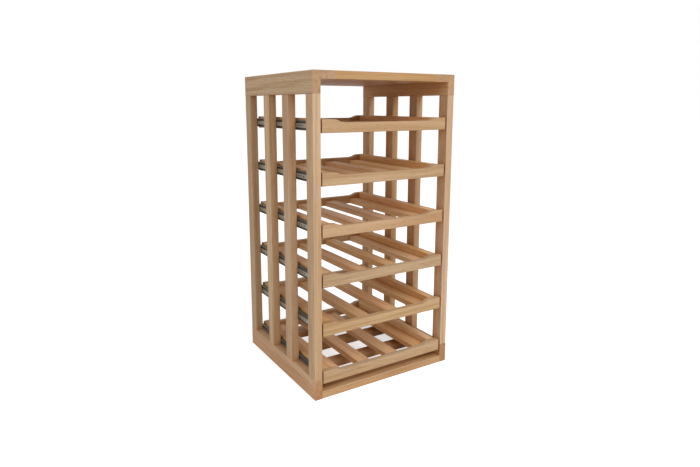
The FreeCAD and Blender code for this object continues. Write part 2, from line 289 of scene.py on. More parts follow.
@dataclass(frozen=True)
class Oak:
    """Planed and oiled oak whose fibres run one way."""

    name: str
    grain: Grain
    boards: Boards = Boards()
    tone: OakTone = OakTone()
    seed: float = 0.0
    ring: float = 3.0 * MILLIMETRE      # width of one year's growth
    figure: float = 0.24                # how strongly the rings show
    wander: float = 0.35                # how far the rings wander along the board
    spread: float = 0.10                # how much the boards differ in lightness
    reach: float = 140 * MILLIMETRE     # how near other boards must be for the painted bounce-light tint on a face
    scatter: float = 7.0                # how far the figure of one board is moved from the next

    def build(self) -> bpy.types.Material:
        """Makes the material.

        Returns:
            The material, ready to be given to a board.
        """
        finish = Finish(self.name)
        local, chance = self._board(finish)
        parts = finish.separated(local)
        along, across, through = (parts[axis] for axis in self.grain.value)
        shift = finish.vector("SCALE", chance)
        shift.node.inputs["Scale"].default_value = self.scatter
        drift = finish.separated(shift)

        def stretched(run: float, turn: float) -> Socket:
            """The place with the run along the fibres slowed and the width quickened."""
            return finish.combined(
                self._scaled(finish, along, run, drift["X"]),
                self._scaled(finish, across, turn, drift["Y"]),
                self._scaled(finish, through, turn, drift["Z"]),
            )

        rings = self._rings(finish, along, across, through, chance, stretched)
        broad = finish.noise(stretched(1.1, 16.0), 1.0, 2.0)
        streak = finish.noise(stretched(2.6, 95.0), 1.0, 3.0, 0.6)
        fibre = finish.noise(stretched(14.0, 620.0), 1.0, 2.0, 0.65)
        pores = finish.ranged(finish.noise(stretched(38.0, 900.0), 1.0, 1.0), 0.60, 0.74)
        flecks = finish.ranged(finish.noise(stretched(75.0, 150.0), 1.0, 1.0), 0.66, 0.80)

        colour = finish.mixed(finish.ranged(broad, 0.30, 0.72), self.tone.pale, self.tone.body)
        colour = finish.mixed(finish.ranged(streak, 0.42, 0.72, 0.0, 0.62), colour, self.tone.warm)
        colour = finish.mixed(finish.math("MULTIPLY", rings, self.figure), colour, self.tone.warm)
        colour = finish.mixed(finish.ranged(fibre, 0.35, 0.70, 0.0, 0.22), colour, self.tone.warm)
        pored = finish.math("MULTIPLY", pores, finish.math("MULTIPLY_ADD", rings, 0.35))
        colour = finish.mixed(finish.ranged(pored, 0.0, 0.9, 0.0, 0.55), colour, self.tone.pore)
        colour = finish.mixed(finish.ranged(flecks, 0.0, 1.0, 0.0, 0.16), colour, self.tone.pale)
        colour = self._matched(finish, colour, chance)
        colour = self._end_grain(finish, colour)
        colour = self._paint_bounce_and_seam_shade(finish, colour)

        relief = finish.math("SUBTRACT", fibre, finish.math("MULTIPLY", pores, 0.9))
        relief = finish.math("SUBTRACT", relief, finish.math("MULTIPLY", rings, 0.35))
        return finish.surface(
            {
                "Base Color": colour,
                "Roughness": finish.ranged(streak, 0.3, 0.8, 0.50, 0.64),
                "IOR": 1.45,
                "Specular IOR Level": 0.35,
                "Normal": finish.bump(relief, 0.12 * MILLIMETRE, 0.55),
            }
        )

    @staticmethod
    def _scaled(finish: Finish, value: Socket, factor: float, shift: Socket) -> Socket:
        """A coordinate times a factor, plus a shift."""
        made = finish.node("ShaderNodeMath", {0: value, 1: factor, 2: shift}, operation="MULTIPLY_ADD")
        return made.outputs[0]

    def _board(self, finish: Finish) -> tuple[Socket, Socket]:
        """Finds the board that a point is on.

        Args:
            finish: The material's graph.

        Returns:
            The point from the middle of its board's cell, and three chance numbers of the board.
        """
        cells = finish.vector("SUBTRACT", finish.place, self.boards.origin)
        cells = finish.vector("DIVIDE", cells, self.boards.spacing)
        cell = finish.vector("FLOOR", cells)
        inside = finish.vector("SUBTRACT", finish.vector("SUBTRACT", cells, cell), (0.5, 0.5, 0.5))
        local = finish.vector("MULTIPLY", inside, self.boards.spacing)
        key = finish.vector("ADD", cell, (self.seed, self.seed * 0.37, self.seed * 0.71))
        white = finish.node("ShaderNodeTexWhiteNoise", {"Vector": key}, noise_dimensions="3D")
        return local, white.outputs["Color"]

    def _rings(
        self,
        finish: Finish,
        along: Socket,
        across: Socket,
        through: Socket,
        chance: Socket,
        stretched: Callable[[float, float], Socket],
    ) -> Socket:
        """The growth rings round a heart that lies beside the board.

        Args:
            finish: The material's graph.
            along: Distance along the fibres.
            across: Distance across the board.
            through: Distance through the board.
            chance: The board's chance numbers.
            stretched: Gives a place slowed along the fibres.

        Returns:
            0 in pale late growth and 1 in dark early growth.
        """
        heart = finish.separated(chance)
        side = finish.ranged(heart["X"], 0.0, 1.0, -0.09, 0.09)
        depth = finish.ranged(heart["Y"], 0.0, 1.0, 0.035, 0.15)
        lean = finish.ranged(heart["Z"], 0.0, 1.0, -0.035, 0.035)
        leaning = finish.math("MULTIPLY", along, lean)
        sway = finish.noise(stretched(2.2, 3.0), 1.0, 2.0)
        sway = finish.ranged(sway, 0.2, 0.8, -0.011 * self.wander, 0.011 * self.wander)
        ripple = finish.noise(stretched(5.0, 50.0), 1.0, 2.0)
        ripple = finish.ranged(ripple, 0.2, 0.8, -0.0016, 0.0016)
        x = finish.math("ADD", finish.math("ADD", across, side), leaning)
        y = finish.math("ADD", finish.math("ADD", through, depth), sway)
        far = finish.node("ShaderNodeVectorMath", {0: finish.combined(x, y, 0.0)}, operation="LENGTH")
        radius = finish.math("ADD", far.outputs["Value"], ripple)
        turn = finish.math("MULTIPLY", radius, 2 * math.pi / self.ring)
        wave = finish.math("SINE", turn)
        return finish.ranged(wave, 0.1, 1.0)

    def _matched(self, finish: Finish, colour: Socket, chance: Socket) -> Socket:
        """Gives each board its own lightness and warmth."""
        parts = finish.separated(chance)
        feeds = {
            "Hue": finish.ranged(parts["X"], 0.0, 1.0, 0.494, 0.503),
            "Saturation": finish.ranged(parts["Y"], 0.0, 1.0, 0.93, 1.08),
            "Value": finish.ranged(parts["Z"], 0.0, 1.0, 1.0 - self.spread, 1.0 + self.spread * 0.6),
            "Color": colour,
        }
        return finish.node("ShaderNodeHueSaturation", feeds).outputs[0]

    def _end_grain(self, finish: Finish, colour: Socket) -> Socket:
        """Darkens the cut ends, where the open pores drink more oil."""
        normal = finish.node("ShaderNodeTexCoord").outputs["Normal"]
        facing = finish.math("ABSOLUTE", finish.separated(normal)[self.grain.value[0]])
        share = finish.ranged(facing, 0.70, 0.95, 0.0, 0.42)
        return finish.mixed(share, colour, self.tone.warm, "MULTIPLY")

    def _paint_bounce_and_seam_shade(self, finish: Finish, colour: Socket) -> Socket:
        """Paints shade into the seams and corners where boards meet, and a warm bounce-light tint into
        faces that other boards enclose.
        """
        # Painted bounce light: enclosed faces take the glow tint; then painted shade in the pore colour
        # within 5 mm of another surface.
        enclosed = finish.ranged(finish.nearness(self.reach), 0.35, 0.95, 1.0, 0.0)
        colour = finish.mixed(enclosed, colour, self.tone.glow, "MULTIPLY")
        shade = finish.ranged(finish.nearness(5 * MILLIMETRE), 0.25, 0.85, 0.55, 0.0)
        return finish.mixed(shade, colour, self.tone.pore)


@dataclass(frozen=True)
class ZincSheet:
    """Rolled and zinc-plated sheet steel, with painted shade and painted dark reflections in the bends
    along its races, and painted shade inside its channels.
    """

    name: str = "zinc_sheet"
    colour: Colour = linear(170, 168, 158)
    dull: Colour = linear(134, 132, 122)
    # painted shade, also used for the dark reflections of the rounded bends
    painted_shade: Colour = linear(24, 22, 20)
    level_spacing: float = 147.4 * MILLIMETRE    # between one pair of slides and the next
    first_level: float = 62.0 * MILLIMETRE       # of the lowest slides' middle
    flat_half: float = 5.4 * MILLIMETRE          # from the middle to where the races start
    race_half: float = 6.6 * MILLIMETRE          # from the middle to where they are darkest
    edge_half: float = 11.6 * MILLIMETRE         # from the middle to where they end
    edge_blend: float = 1.0 * MILLIMETRE
    channel_reach: float = 4.0 * MILLIMETRE      # how near a wall has to be for painted shade

    def build(self) -> bpy.types.Material:
        """Makes the material.

        Returns:
            The material of the slide members.
        """
        finish = Finish(self.name)
        parts = finish.separated(finish.place)
        rolled = finish.noise(finish.combined(
            finish.math("MULTIPLY", parts["X"], 900.0),
            finish.math("MULTIPLY", parts["Y"], 14.0),
            finish.math("MULTIPLY", parts["Z"], 900.0),
        ), 1.0, 3.0)
        spangle = finish.node("ShaderNodeTexVoronoi", {"Vector": finish.place, "Scale": 160.0})
        blotch = finish.noise(finish.place, 45.0, 3.0)
        colour = finish.mixed(finish.ranged(rolled, 0.3, 0.75), self.colour, self.dull)
        colour = finish.mixed(0.10, colour, spangle.outputs["Color"], "OVERLAY")
        colour = finish.mixed(finish.ranged(blotch, 0.45, 0.8, 0.0, 0.4), colour, self.dull)
        level = finish.math("SUBTRACT", parts["Z"], self.first_level - self.level_spacing / 2)
        level = finish.math("FLOORED_MODULO", level, self.level_spacing)
        level = finish.math("ABSOLUTE", finish.math("SUBTRACT", level, self.level_spacing / 2))
        # Painted shade and painted dark reflection of the rounded bends, in bands laid by height at every
        # level of slides.
        race = finish.ranged(level, self.flat_half, self.race_half, 0.0, 0.95)
        past = finish.ranged(level, self.edge_half, self.edge_half + self.edge_blend, 1.0, 0.75)
        colour = finish.mixed(finish.math("MULTIPLY", race, past), colour, self.painted_shade)
        # Painted shade in holes and between members, wherever another wall is near.
        inside = finish.ranged(finish.nearness(self.channel_reach), 0.50, 0.92, 0.96, 0.0)
        colour = finish.mixed(inside, colour, self.painted_shade)
        return finish.surface(
            {
                "Base Color": colour,
                "Metallic": 0.4,
                "Roughness": finish.ranged(rolled, 0.2, 0.8, 0.36, 0.50),
                "Normal": finish.bump(rolled, 0.04 * MILLIMETRE, 0.35),
            }
        )


@dataclass(frozen=True)
class BrightSteel:
    """Bright steel of the screws and balls, with fine turned or rolling marks and painted shade in recesses
    and corners.
    """

    name: str
    colour: Colour = linear(205, 204, 198)
    mark: Colour = linear(120, 118, 112)
    roughness: float = 0.26
    marks: float = 2600.0

    def build(self) -> bpy.types.Material:
        """Makes the material.

        Returns:
            The material of the screws or of the balls.
        """
        finish = Finish(self.name)
        scratch = finish.noise(finish.place, self.marks, 2.0)
        stain = finish.noise(finish.place, 420.0, 3.0)
        colour = finish.mixed(finish.ranged(scratch, 0.45, 0.75, 0.0, 0.5), self.colour, self.mark)
        colour = finish.mixed(finish.ranged(stain, 0.5, 0.8, 0.0, 0.5), colour, self.mark)
        # Painted shade: darker in the cross recess and wherever another surface is within 1.2 mm.
        corner = finish.ranged(finish.nearness(1.2 * MILLIMETRE, 4), 0.2, 0.9, 0.8, 0.0)
        colour = finish.mixed(corner, colour, linear(46, 44, 40))
        return finish.surface(
            {
                "Base Color": colour,
                "Metallic": 0.9,
                "Roughness": finish.ranged(stain, 0.3, 0.8, self.roughness, self.roughness + 0.14),
                "Normal": finish.bump(scratch, 0.02 * MILLIMETRE, 0.3),
            }
        )


@dataclass(frozen=True)
class Beech:
    """Turned beech with short flecks, for the dowels."""

    name: str = "beech"
    body: Colour = linear(206, 172, 134)
    fleck: Colour = linear(158, 116, 80)

    def build(self) -> bpy.types.Material:
        """Makes the material.

        Returns:
            The material of the dowels.
        """
        finish = Finish(self.name)
        flecks = finish.noise(finish.place, 1400.0, 2.0)
        turning = finish.noise(finish.place, 260.0, 2.0)
        colour = finish.mixed(finish.ranged(flecks, 0.55, 0.72), self.body, self.fleck)
        colour = finish.mixed(finish.ranged(turning, 0.3, 0.8, 0.0, 0.3), colour, self.fleck)
        return finish.surface(
            {
                "Base Color": colour,
                "Roughness": finish.ranged(turning, 0.3, 0.8, 0.55, 0.7),
                "Normal": finish.bump(flecks, 0.05 * MILLIMETRE, 0.4),
            }
        )


def dress(names: list[str], material: bpy.types.Material, nodes: dict[str, bpy.types.Object]) -> None:
    """Gives a material to CAD nodes.

    Args:
        names: The nodes.
        material: What every slot of theirs gets.
        nodes: All nodes of the frame, by name.
    """
    for name in names:
        piece = nodes[name]
        if not piece.material_slots:
            piece.data.materials.append(material)
        for slot in piece.material_slots:
            slot.material = material
        LOG.info("%s is dressed in %s", name, material.name)


# ---------------------------------------------------------------------------------------------
# Meshes that repeat
# ---------------------------------------------------------------------------------------------
@dataclass
class PanScrew:
    """A pan-head screw with a cross recess, along X with its head's seat at X = 0.

    The head stands towards +X and the point towards -X.
    """

    length: float
    head_radius: float = 3.5 * MILLIMETRE
    head_height: float = 1.8 * MILLIMETRE
    shank_radius: float = 1.2 * MILLIMETRE
    thread_radius: float = 1.72 * MILLIMETRE
    thread_pitch: float = 1.3 * MILLIMETRE
    point: float = 3.0 * MILLIMETRE
    arm_half: float = 0.42 * MILLIMETRE
    arm_reach: float = 1.75 * MILLIMETRE
    recess: float = 1.15 * MILLIMETRE
    sides: int = 24

    def _profile(self) -> list[tuple[float, float]]:
        """The (X, radius) profile from the point to the rim of the head's top."""
        places = [(-self.length, 0.05 * MILLIMETRE)]
        count = int((self.length - self.point) / self.thread_pitch)
        places.append((-self.length + self.point, self.shank_radius))
        for turn in range(count):
            start = -self.length + self.point + turn * self.thread_pitch
            places.append((start + 0.45 * self.thread_pitch, self.thread_radius))
            places.append((start + 0.62 * self.thread_pitch, self.thread_radius))
            places.append((start + self.thread_pitch, self.shank_radius))
        places.append((0.0, self.shank_radius))
        places.append((0.0, self.head_radius * 0.97))
        for step in range(5):
            turn = step / 4 * math.pi / 2
            x = self.head_height * (0.30 + 0.70 * math.sin(turn))
            places.append((x, self.head_radius * (0.66 + 0.34 * math.cos(turn))))
        return places

    def _cross(self) -> list[tuple[float, float]]:
        """The outline of the recess, with a corner or a middle for every side of the head."""
        half, reach = self.arm_half, self.arm_reach
        middle = (half + reach) / 2
        tip = [(reach, -half), (reach, 0.0), (reach, half)]
        quarter = tip + [(middle, half), (half, half), (half, middle)]
        outline = []
        for turn in range(4):
            spin = Matrix.Rotation(turn * math.pi / 2, 2)
            outline += [tuple(spin @ Vector(place)) for place in quarter]
        return outline

    def build(self) -> bpy.types.Object:
        """Makes the screw.

        Returns:
            The object, which is in no collection.
        """
        shape = bmesh.new()
        loops = []
        first = math.atan2(-self.arm_half, self.arm_reach)
        for x, radius in self._profile():
            angles = [first + 2 * math.pi * i / self.sides for i in range(self.sides)]
            loops.append([shape.verts.new((x, radius * math.cos(a), radius * math.sin(a))) for a in angles])
        top = self.head_height
        outline = self._cross()
        loops.append([shape.verts.new((top * 0.99, y, z)) for y, z in outline])
        loops.append([shape.verts.new((top - self.recess, y * 0.55, z * 0.55)) for y, z in outline])
        for low, high in zip(loops, loops[1:]):
            for i in range(self.sides):
                j = (i + 1) % self.sides
                shape.faces.new((low[i], low[j], high[j], high[i]))
        shape.faces.new(loops[-1])
        shape.faces.new(list(reversed(loops[0])))
        bmesh.ops.recalc_face_normals(shape, faces=shape.faces)
        mesh = bpy.data.meshes.new("pan_screw")
        shape.to_mesh(mesh)
        shape.free()
        return bpy.data.objects.new("pan_screw", mesh)


@dataclass
class CagePlate:
    """One ball's place in a cage: a square of thin sheet with a round window, facing X."""

    pitch: float
    height: float = 3.2 * MILLIMETRE
    thickness: float = 0.45 * MILLIMETRE
    window: float = 0.92 * MILLIMETRE
    sides: int = 16

    def build(self) -> bpy.types.Object:
        """Makes the plate.

        Returns:
            The object, which is in no collection.
        """
        shape = bmesh.new()
        loops = []
        for x in (-self.thickness / 2, self.thickness / 2):
            inner, outer = [], []
            for i in range(self.sides):
                turn = 2 * math.pi * (i + 0.5) / self.sides
                cos, sin = math.cos(turn), math.sin(turn)
                stretch = 1 / max(abs(cos) / (self.pitch / 2), abs(sin) / (self.height / 2))
                inner.append(shape.verts.new((x, self.window * cos, self.window * sin)))
                outer.append(shape.verts.new((x, stretch * cos, stretch * sin)))
            loops.append((inner, outer))
        (back_in, back_out), (front_in, front_out) = loops
        for i in range(self.sides):
            j = (i + 1) % self.sides
            shape.faces.new((front_in[i], front_out[i], front_out[j], front_in[j]))
            shape.faces.new((back_in[j], back_out[j], back_out[i], back_in[i]))
            shape.faces.new((front_in[j], back_in[j], back_in[i], front_in[i]))
            shape.faces.new((front_out[i], back_out[i], back_out[j], front_out[j]))
        bmesh.ops.recalc_face_normals(shape, faces=shape.faces)
        mesh = bpy.data.meshes.new("cage_plate")
        shape.to_mesh(mesh)
        shape.free()
        return bpy.data.objects.new("cage_plate", mesh)


@dataclass
class Ball:
    """One ball of a slide."""

    radius: float

    def build(self) -> bpy.types.Object:
        """Makes the ball.

        Returns:
            The object, which is in no collection.
        """
        shape = bmesh.new()
        bmesh.ops.create_icosphere(shape, subdivisions=2, radius=self.radius)
        for face in shape.faces:
            face.smooth = True
        mesh = bpy.data.meshes.new("ball")
        shape.to_mesh(mesh)
        shape.free()
        return bpy.data.objects.new("ball", mesh)


class Repeater:
    """A geometry tree that repeats a unit in rows along Y, from each point of a base mesh.

    A point's "turn" attribute turns its row's units about Z, and each unit may also be spun
    about X by chance, as screws are when they are driven home.
    """

    def __init__(self) -> None:
        """Builds the tree once, for every use of it."""
        self.tree = bpy.data.node_groups.new("repeat_in_rows", "GeometryNodeTree")
        self.sockets = {}
        self.tree.interface.new_socket("Places", in_out="INPUT", socket_type="NodeSocketGeometry")
        for name, kind in (
            ("Unit", "NodeSocketObject"),
            ("Count", "NodeSocketInt"),
            ("Pitch", "NodeSocketFloat"),
            ("Chance Spin", "NodeSocketFloat"),
            ("Seed", "NodeSocketInt"),
            ("Finish", "NodeSocketMaterial"),
        ):
            made = self.tree.interface.new_socket(name, in_out="INPUT", socket_type=kind)
            self.sockets[name] = made.identifier
        self.tree.interface.new_socket("Pieces", in_out="OUTPUT", socket_type="NodeSocketGeometry")
        self._wire()

    def _wire(self) -> None:
        """Adds and links the nodes."""
        graph = Graph(self.tree)
        given = graph.node("NodeGroupInput").outputs
        result = graph.node("NodeGroupOutput")
        step = graph.combined(0.0, given["Pitch"], 0.0)
        line = graph.node("GeometryNodeMeshLine", {"Count": given["Count"], "Offset": step}, mode="OFFSET")
        rows = graph.node(
            "GeometryNodeInstanceOnPoints",
            {"Points": given["Places"], "Instance": line.outputs["Mesh"]},
        )
        places = graph.node("GeometryNodeRealizeInstances", {"Geometry": rows.outputs["Instances"]})
        turn = graph.node("GeometryNodeInputNamedAttribute", {"Name": "turn"}, data_type="FLOAT")
        spin = graph.node(
            "FunctionNodeRandomValue",
            {2: 0.0, 3: given["Chance Spin"], "Seed": given["Seed"]},
            data_type="FLOAT",
        )
        rotation = graph.combined(spin.outputs[1], 0.0, turn.outputs["Attribute"])
        unit = graph.node("GeometryNodeObjectInfo", {"Object": given["Unit"]}, transform_space="ORIGINAL")
        units = graph.node(
            "GeometryNodeInstanceOnPoints",
            {
                "Points": places.outputs["Geometry"],
                "Instance": unit.outputs["Geometry"],
                "Rotation": rotation,
            },
        )
        real = graph.node("GeometryNodeRealizeInstances", {"Geometry": units.outputs["Instances"]})
        finished = graph.node(
            "GeometryNodeSetMaterial",
            {"Geometry": real.outputs["Geometry"], "Material": given["Finish"]},
        )
        self.tree.links.new(finished.outputs["Geometry"], result.inputs[0])

    def repeat(
        self,
        name: str,
        unit: bpy.types.Object,
        starts: list[tuple[Vector, Side]],
        material: bpy.types.Material,
        count: int = 1,
        pitch: float = 0.0,
        chance_spin: float = 0.0,
        seed: int = 1,
    ) -> bpy.types.Object:
        """Repeats a unit and turns the result into a plain mesh.

        Args:
            name: The finished piece's name.
            unit: What is repeated.
            starts: The first place of each row and the side of the rack that it is on.
            material: What the piece is made of.
            count: How many there are in a row.
            pitch: From one to the next, towards +Y.
            chance_spin: The most that one is spun about X.
            seed: What the chance spins start from.

        Returns:
            The finished piece, at the origin.
        """
        base = bpy.data.meshes.new(name + "_places")
        base.from_pydata([tuple(place) for place, _ in starts], [], [])
        turns = base.attributes.new("turn", "FLOAT", "POINT")
        for i, (_, side) in enumerate(starts):
            turns.data[i].value = 0.0 if side is Side.LEFT else math.pi
        holder = bpy.data.objects.new(name + "_holder", base)
        collection = bpy.context.scene.collection
        collection.objects.link(holder)
        collection.objects.link(unit)
        modifier = holder.modifiers.new("rows", "NODES")
        modifier.node_group = self.tree
        values = {
            "Unit": unit,
            "Count": count,
            "Pitch": pitch,
            "Chance Spin": chance_spin,
            "Seed": seed,
            "Finish": material,
        }
        for key, value in values.items():
            modifier[self.sockets[key]] = value
        bpy.context.view_layer.update()
        evaluated = holder.evaluated_get(bpy.context.evaluated_depsgraph_get())
        mesh = bpy.data.meshes.new_from_object(evaluated)
        mesh.name = name
        holder.modifiers.remove(modifier)
        bpy.data.objects.remove(holder)
        bpy.data.objects.remove(unit)
        piece = bpy.data.objects.new(name, mesh)
        collection.objects.link(piece)
        return piece


# ---------------------------------------------------------------------------------------------
# Sub-assemblies
# ---------------------------------------------------------------------------------------------
@dataclass
class SidePanels:
    """The two slatted side panels."""

    nodes: dict[str, bpy.types.Object]
    slat_pitch: float = SLAT_PITCH
    rail_cell: float = 0.5          # a height between the bottom rails and the top rails
    tone: OakTone = OakTone()

    def dress(self) -> None:
        """Gives the uprights and the rails their oak."""
        uprights = Oak(
            "oak_uprights",
            Grain.ALONG_Z,
            Boards((WHOLE, self.slat_pitch, WHOLE), (0.0, -2 * self.slat_pitch, BELOW)),
            self.tone,
            seed=3.0,
        )
        rails = Oak(
            "oak_side_rails",
            Grain.ALONG_Y,
            Boards((WHOLE, WHOLE, self.rail_cell), (0.0, -WHOLE / 2, 0.0)),
            self.tone,
            seed=11.0,
        )
        sides = [side.name.lower() for side in Side]
        kinds = ("front_stile", "rear_stile", "slats")
        dress([f"{side}_{kind}" for side in sides for kind in kinds], uprights.build(), self.nodes)
        kinds = ("top_rail", "bottom_rail")
        dress([f"{side}_{kind}" for side in sides for kind in kinds], rails.build(), self.nodes)


@dataclass
class Top:
    """The glued-up top board between its two battens."""

    nodes: dict[str, bpy.types.Object]
    stave: float = 95 * MILLIMETRE
    opening: float = 320 * MILLIMETRE   # how near the tray and the panels must be for the painted bounce-light tint on the underside
    staves: OakTone = OakTone(
        pale=linear(198, 168, 124),
        body=linear(182, 144, 96),
        warm=linear(154, 110, 68),
        pore=linear(108, 72, 42),
        # painted bounce-light tint of the staves' enclosed faces
        glow=linear(244, 206, 146),
    )
    tone: OakTone = OakTone()

    def dress(self) -> None:
        """Gives the staves of the board and the battens their oak."""
        board = Oak(
            "oak_top_staves",
            Grain.ALONG_X,
            Boards((WHOLE, self.stave, WHOLE), (-WHOLE / 2, -2.5 * self.stave, BELOW)),
            self.staves,
            seed=5.0,
            ring=5.2 * MILLIMETRE,
            figure=0.50,
            wander=1.1,
            reach=self.opening,
        )
        battens = Oak(
            "oak_top_battens",
            Grain.ALONG_Y,
            Boards((WHOLE, WHOLE, WHOLE), (0.0, -WHOLE / 2, BELOW)),
            self.tone,
            seed=8.0,
        )
        dress(["top_board"], board.build(), self.nodes)
        dress(["top_battens"], battens.build(), self.nodes)


@dataclass
class Base:
    """The slatted base on the floor."""

    nodes: dict[str, bpy.types.Object]
    slat_pitch: float = SLAT_PITCH
    tone: OakTone = OakTone()

    def dress(self) -> None:
        """Gives the base its oak."""
        boards = Oak(
            "oak_base",
            Grain.ALONG_X,
            Boards((WHOLE, self.slat_pitch, WHOLE), (-WHOLE / 2, -2 * self.slat_pitch, BELOW)),
            self.tone,
            seed=17.0,
        )
        names = ["base_front_rail", "base_rear_rail", "base_slats"]
        dress(names, boards.build(), self.nodes)


@dataclass
class Trays:
    """The six sliding trays."""

    nodes: dict[str, bpy.types.Object]
    count: int
    slats_in_tray: int = 4
    slat_width: float = 43 * MILLIMETRE
    end_tone: OakTone = OakTone(
        pale=linear(200, 174, 142),
        body=linear(182, 150, 115),
        warm=linear(162, 125, 89),
        pore=linear(114, 79, 52),
    )
    tone: OakTone = OakTone(
        pale=linear(236, 203, 161),
        body=linear(219, 179, 134),
        warm=linear(199, 152, 108),
        pore=linear(142, 100, 66),
        # painted bounce-light tint of the trays' enclosed faces
        glow=linear(254, 240, 220),
    )

    def dress(self) -> None:
        """Gives the boards of all trays their oak, each board with its own figure."""
        lowest, board_top = (corner.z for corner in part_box(f"tray_{self.count}_front"))
        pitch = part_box(f"tray_{self.count - 1}_front")[0].z - lowest
        floor = lowest - (pitch - (board_top - lowest)) / 2
        slats_low, slats_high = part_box("tray_1_slats")
        slat_pitch = (slats_high.x - slats_low.x - self.slat_width) / (self.slats_in_tray - 1)
        first_slat_cell = -self.slats_in_tray / 2 * slat_pitch
        cross = Oak(
            "oak_tray_ends",
            Grain.ALONG_X,
            Boards((WHOLE, WHOLE / 2, pitch), (-WHOLE / 2, -WHOLE / 2, floor)),
            self.end_tone,
            seed=23.0,
        )
        side = Oak(
            "oak_tray_sides",
            Grain.ALONG_Y,
            Boards((WHOLE, WHOLE, pitch), (0.0, -WHOLE / 2, floor)),
            self.tone,
            seed=31.0,
        )
        slat = Oak(
            "oak_tray_slats",
            Grain.ALONG_Y,
            Boards((slat_pitch, WHOLE, pitch), (first_slat_cell, -WHOLE / 2, floor)),
            self.tone,
            seed=41.0,
        )
        numbers = range(1, self.count + 1)
        ends = [f"tray_{n}_{kind}" for n in numbers for kind in ("front", "back")]
        dress(ends, cross.build(), self.nodes)
        dress([f"tray_{n}_sides" for n in numbers], side.build(), self.nodes)
        dress([f"tray_{n}_slats" for n in numbers], slat.build(), self.nodes)


@dataclass
class Slides:
    """The ball-bearing slides: their members, their screws, and their balls in cages."""

    nodes: dict[str, bpy.types.Object]
    count: int
    repeater: Repeater
    sheet: float = 1.2 * MILLIMETRE
    ball_pitch: float = 4.0 * MILLIMETRE
    ball_radius: float = 0.95 * MILLIMETRE
    balls_in_group: int = 14
    group_inset: float = 26 * MILLIMETRE       # from each end of a member to its group of balls
    race_x: float = 2.4 * MILLIMETRE           # from the side panel to the row of balls
    race_z: float = 9.9 * MILLIMETRE           # from the slide's middle to the row of balls
    panel_screw_length: float = 14.8 * MILLIMETRE
    tray_screw_length: float = 12.8 * MILLIMETRE
    tray_screw_inset: float = 60 * MILLIMETRE
    slat_pitch: float = SLAT_PITCH
    steel: bpy.types.Material = field(init=False)
    bright: bpy.types.Material = field(init=False)

    def __post_init__(self) -> None:
        """Builds the finishes that the pieces share."""
        self.steel = ZincSheet().build()
        self.bright = BrightSteel("bright_steel").build()

    def dress(self) -> None:
        """Gives the CAD members their steel."""
        names = ["slide_outer_members"]
        for number in range(1, self.count + 1):
            names += [f"slide_middle_{number}", f"tray_{number}_slide_inner"]
        dress(names, self.steel, self.nodes)

    def _levels(self) -> list[float]:
        """The height of the middle of each pair of slides, from the top one down."""
        boxes = [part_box(f"slide_middle_{number}") for number in range(1, self.count + 1)]
        return [(low.z + high.z) / 2 for low, high in boxes]

    def _panel_face(self) -> float:
        """How far the inner faces of the side panels are from the middle."""
        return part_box("slide_outer_members")[1].x

    def _screw_rows(self) -> list[float]:
        """Where along Y the screws of the outer members are."""
        low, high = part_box("slide_outer_members")
        return [
            (low.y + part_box("left_front_stile")[1].y) / 2,
            -self.slat_pitch / 2,
            self.slat_pitch / 2,
            (high.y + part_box("left_rear_stile")[0].y) / 2,
        ]

    def build_panel_screws(self) -> None:
        """Makes the screws that hold the outer members to the side panels."""
        seat = self._panel_face() - self.sheet
        starts = [
            (Vector((side.value * seat, y, z)), side)
            for side in Side
            for z in self._levels()
            for y in self._screw_rows()
        ]
        screw = PanScrew(self.panel_screw_length + self.sheet).build()
        piece = self.repeater.repeat(
            "panel_screws", screw, starts, self.bright, chance_spin=math.pi / 2, seed=4
        )
        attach(piece, "rack")
        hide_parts("slide_screws")
        LOG.info("%s: %d screws", piece.name, len(starts))

    def build_tray_screws(self) -> None:
        """Makes the screws that hold the inner members to each tray."""
        low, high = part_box("slide_outer_members")
        rows = (low.y + self.tray_screw_inset, high.y - self.tray_screw_inset)
        for number, z in enumerate(self._levels(), start=1):
            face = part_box(f"tray_{number}_sides")[1].x + self.sheet
            starts = [
                (Vector((side.value * face, y, z)), other)
                for side, other in ((Side.LEFT, Side.RIGHT), (Side.RIGHT, Side.LEFT))
                for y in rows
            ]
            screw = PanScrew(self.tray_screw_length + self.sheet).build()
            name = f"tray_{number}_slide_screws"
            piece = self.repeater.repeat(
                name, screw, starts, self.bright, chance_spin=math.pi / 2, seed=20 + number
            )
            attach(piece, f"tray_{number}")
            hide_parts(f"tray_{number}_screws")
            LOG.info("%s: %d screws", name, len(starts))

    def build_balls(self) -> None:
        """Makes the balls and cages between the outer and middle members."""
        face = self._panel_face()
        for number, z in enumerate(self._levels(), start=1):
            low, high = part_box(f"slide_middle_{number}")
            run = (self.balls_in_group - 1) * self.ball_pitch
            starts = [
                (Vector((side.value * (face - self.race_x), y, z + row * self.race_z)), side)
                for side in Side
                for row in (-1, 1)
                for y in (low.y + self.group_inset, high.y - self.group_inset - run)
            ]
            for name, unit, material, slot in (
                (f"balls_{number}", Ball(self.ball_radius).build(), self.bright, "screw_steel"),
                (f"ball_cages_{number}", CagePlate(self.ball_pitch).build(), self.steel, "zinc_steel"),
            ):
                piece = self.repeater.repeat(
                    name, unit, starts, material, count=self.balls_in_group, pitch=self.ball_pitch
                )
                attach(piece, f"runner_{number}")
                LOG.info("%s: %d in %d rows", name, self.balls_in_group * len(starts), len(starts))


@dataclass
class Dowels:
    """The dowels hidden in the frame's joints."""

    nodes: dict[str, bpy.types.Object]

    def dress(self) -> None:
        """Gives the dowels their beech."""
        dress(["frame_dowels"], Beech().build(), self.nodes)


